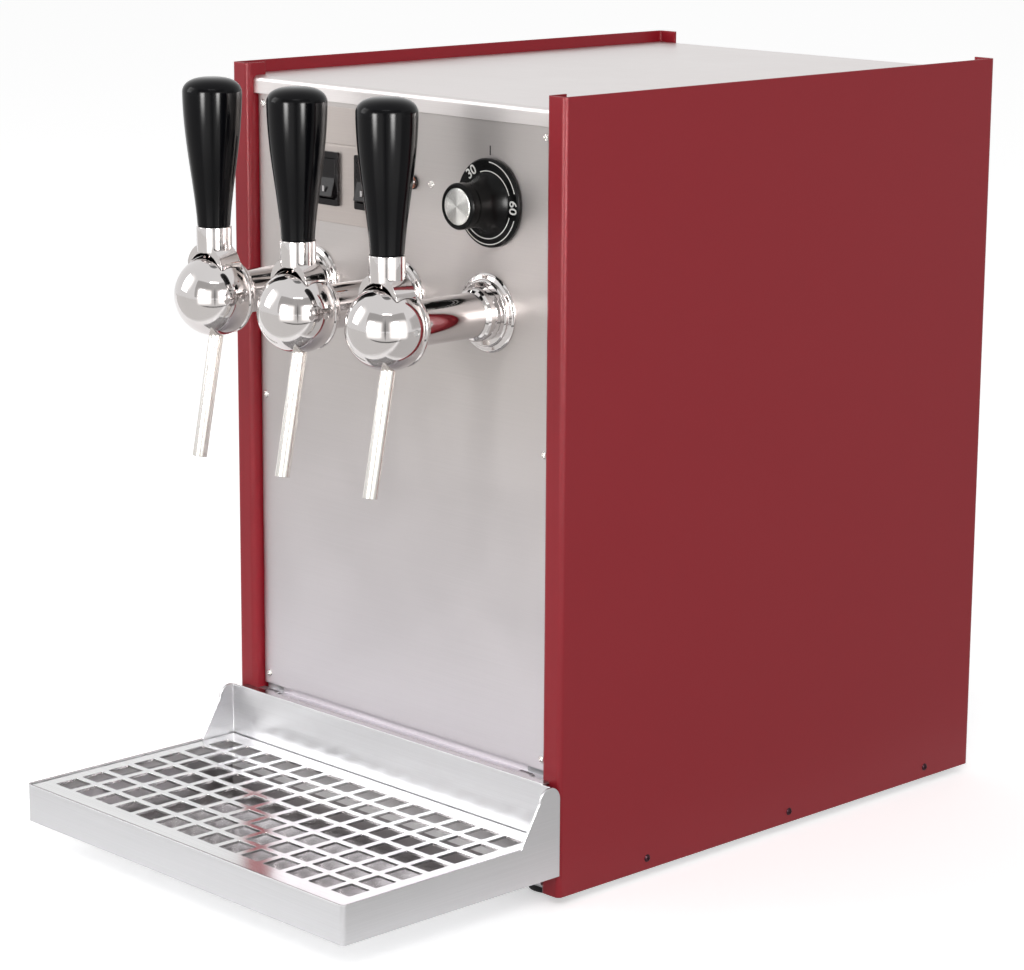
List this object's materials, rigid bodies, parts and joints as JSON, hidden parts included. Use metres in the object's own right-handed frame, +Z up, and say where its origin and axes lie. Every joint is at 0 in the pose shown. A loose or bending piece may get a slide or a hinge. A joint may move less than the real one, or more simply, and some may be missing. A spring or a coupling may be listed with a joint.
{
  "type": "mulled wine dispenser",
  "caption": "Countertop hot drink dispenser: folded sheet cabinet with a heated water bath, ball taps with lever grips, switches, thermostat knob and a lift-off drip tray.",
  "frame": {"origin": "on the floor plane under the middle of the whole object's bounding box", "axes": "+Z up, +Y from the taps and the drip tray at the front towards the inlets at the back, +X to the right as the user faces the taps"},
  "size_m": [0.2906, 0.5666, 0.465],
  "materials": {
    "red_paint": "smooth semi-gloss powder coat, dark red",
    "panel_steel": "fine satin ground stainless sheet",
    "tray_steel": "satin stainless sheet",
    "tank_steel": "plain mill finish stainless",
    "zinc_steel": "zinc plated steel",
    "rubber": "moulded black rubber",
    "bright_screws": "bright nickel plated",
    "black_screws": "dark plated screw heads",
    "plate_foil": "pale satin foil plate, left bare",
    "switch_black": "fine textured black plastic",
    "amber": "amber lens, unlit",
    "knob_black": "black plastic with white scale marks",
    "knob_silver": "spun aluminium disc",
    "copper": "copper capillary and bulb",
    "felt": "pressed mineral felt",
    "chrome": "polished chrome plate",
    "brass": "turned brass",
    "ceramic": "pale ceramic and moulding compound",
    "plug_brass": "turned brass valve plug",
    "grip_black": "high gloss black moulding",
    "spout_steel": "plain drawn stainless tube"
  },
  "bodies": {
    "cabinet": {"left_side_panel": "red_paint", "right_side_panel": "red_paint", "top_cover": "panel_steel", "front_panel": "panel_steel", "back_panel": "panel_steel", "base_pan": "zinc_steel", "front_sill": "panel_steel", "front_uprights": "zinc_steel", "rubber_feet": "rubber", "foot_screws": "zinc_steel", "front_screws": "bright_screws", "side_screws": "black_screws", "back_screws": "bright_screws", "control_plate": "plate_foil", "switch_frames": "switch_black", "lamp_bezel": "switch_black", "lamp_lens": "amber", "thermostat": "zinc_steel", "thermostat_probe": "copper", "water_tank": "tank_steel", "tank_jacket": "felt", "tank_lid": "tank_steel", "heating_elements": "zinc_steel", "product_coil_1": "tank_steel", "product_coil_2": "tank_steel", "product_coil_3": "tank_steel", "inlet_spigots": "chrome", "drain_cock": "brass", "cable_gland": "switch_black", "terminal_block": "ceramic", "safety_cutout": "ceramic", "tap_shank_1": "chrome", "tap_shank_2": "chrome", "tap_shank_3": "chrome", "tap_ball_1": "chrome", "tap_ball_2": "chrome", "tap_ball_3": "chrome", "tap_spout_1": "spout_steel", "tap_spout_2": "spout_steel", "tap_spout_3": "spout_steel", "tap_rosettes": "chrome", "shank_nuts": "chrome", "valve_caps": "chrome"},
    "tap_1_lever": {"tap_lever_1": "chrome", "tap_plug_1": "plug_brass", "tap_grip_1": "grip_black"},
    "tap_2_lever": {"tap_lever_2": "chrome", "tap_plug_2": "plug_brass", "tap_grip_2": "grip_black"},
    "tap_3_lever": {"tap_lever_3": "chrome", "tap_plug_3": "plug_brass", "tap_grip_3": "grip_black"},
    "thermostat_knob": {"control_knob": "knob_black", "knob_insert": "knob_silver", "thermostat_spindle": "zinc_steel"},
    "rocker_left": {"rocker_left": "switch_black"},
    "rocker_right": {"rocker_right": "switch_black"},
    "drip_tray": {"drip_tray": "tray_steel"},
    "drip_grid": {"drip_grid": "tray_steel"}
  },
  "joints": [
    {"name": "tap_1_pull", "type": "hinge", "parent": "cabinet", "child": "tap_1_lever", "pos_m": [-0.076, -0.18855, 0.3373], "axis": [1, 0, 0], "range_deg": [0, 25]},
    {"name": "tap_2_pull", "type": "hinge", "parent": "cabinet", "child": "tap_2_lever", "pos_m": [0, -0.18855, 0.3373], "axis": [1, 0, 0], "range_deg": [0, 25]},
    {"name": "tap_3_pull", "type": "hinge", "parent": "cabinet", "child": "tap_3_lever", "pos_m": [0.076, -0.18855, 0.3373], "axis": [1, 0, 0], "range_deg": [0, 25]},
    {"name": "thermostat_turn", "type": "hinge", "parent": "cabinet", "child": "thermostat_knob", "pos_m": [0.0785, -0.11875, 0.4005], "axis": [0, 1, 0], "range_deg": [0, 270]},
    {"name": "left_rocker_tilt", "type": "hinge", "parent": "cabinet", "child": "rocker_left", "pos_m": [-0.0605, -0.11185, 0.4015], "axis": [1, 0, 0], "range_deg": [0, 16]},
    {"name": "right_rocker_tilt", "type": "hinge", "parent": "cabinet", "child": "rocker_right", "pos_m": [-0.0265, -0.11185, 0.4015], "axis": [1, 0, 0], "range_deg": [0, 16]},
    {"name": "tray_lift", "type": "slide", "parent": "cabinet", "child": "drip_tray", "axis": [0, 0, 1], "range_m": [0, 0.0085]},
    {"name": "grid_lift", "type": "slide", "parent": "drip_tray", "child": "drip_grid", "axis": [0, 0, 1], "range_m": [0, 0.04]}
  ]
}
